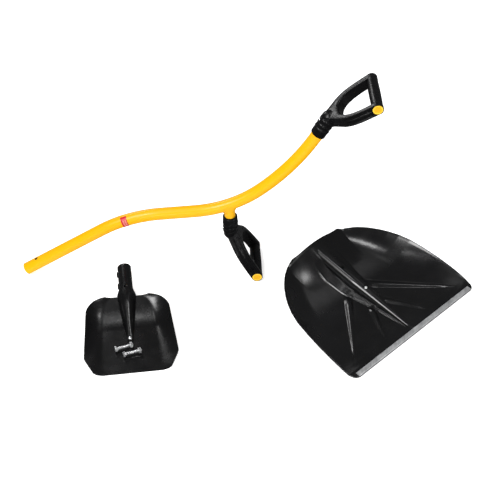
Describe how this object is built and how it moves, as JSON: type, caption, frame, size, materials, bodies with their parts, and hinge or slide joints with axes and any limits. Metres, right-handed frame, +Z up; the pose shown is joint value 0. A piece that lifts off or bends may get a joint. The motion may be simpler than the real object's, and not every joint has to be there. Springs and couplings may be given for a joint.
{
  "type": "two-grip snow shovel kit",
  "caption": "Bent steel snow shovel shaft with two D grips, standing beside its two loose heads: a small steel blade with its hex bolts and nuts, and a big plastic scoop",
  "frame": {"origin": "on the floor under the centre of the kit's bounding box", "axes": "+X from the shaft's cut end toward the scoop, +Y from the two heads toward the shaft, +Z up"},
  "size_m": [1.117, 0.4658, 0.5362],
  "materials": {
    "yellow_paint": "glossy yellow powder coat",
    "red_label": "plain red film",
    "grip_plastic": "black satin moulded plastic",
    "cap_plastic": "yellow moulded plastic",
    "zinc": "bright zinc plate",
    "black_steel": "glossy black paint",
    "scoop_plastic": "glossy black moulded plastic",
    "edge_steel": "plain folded steel strip"
  },
  "bodies": {
    "shaft": {"shaft_tube": "yellow_paint", "grip_stub": "yellow_paint", "stub_weld": "yellow_paint", "shaft_label": "red_label", "top_grip_body": "grip_plastic", "top_grip_cap_a": "cap_plastic", "top_grip_cap_b": "cap_plastic", "top_grip_screw": "zinc", "mid_grip_body": "grip_plastic", "mid_grip_cap_a": "cap_plastic", "mid_grip_cap_b": "cap_plastic", "mid_grip_screw": "zinc"},
    "steel_blade": {"steel_blade_plate": "black_steel", "steel_blade_socket": "black_steel", "steel_blade_rivet": "zinc"},
    "bolt_a_set": {"bolt_a": "zinc"},
    "nut_a_set": {"nut_a": "zinc"},
    "bolt_b_set": {"bolt_b": "zinc"},
    "nut_b_set": {"nut_b": "zinc"},
    "scoop": {"scoop_shell": "scoop_plastic", "scoop_socket": "scoop_plastic", "scoop_edge_strip": "edge_steel", "scoop_socket_screw": "zinc"}
  },
  "joints": [
    {"name": "steel_blade_lift", "type": "slide", "parent": "shaft", "child": "steel_blade", "axis": [0, 0, 1], "range_m": [0, 0.08]},
    {"name": "scoop_lift", "type": "slide", "parent": "shaft", "child": "scoop", "axis": [0, 0, 1], "range_m": [0, 0.15]},
    {"name": "bolt_a_lift", "type": "slide", "parent": "steel_blade", "child": "bolt_a_set", "axis": [0, 0, 1], "range_m": [0, 0.06]},
    {"name": "nut_a_travel", "type": "slide", "parent": "bolt_a_set", "child": "nut_a_set", "axis": [0.9205, 0.3907, 0], "range_m": [-0.0305, 0.012]},
    {"name": "bolt_b_lift", "type": "slide", "parent": "steel_blade", "child": "bolt_b_set", "axis": [0, 0, 1], "range_m": [0, 0.06]},
    {"name": "nut_b_travel", "type": "slide", "parent": "bolt_b_set", "child": "nut_b_set", "axis": [0.9336, 0.3584, 0], "range_m": [-0.0305, 0.012]}
  ]
}
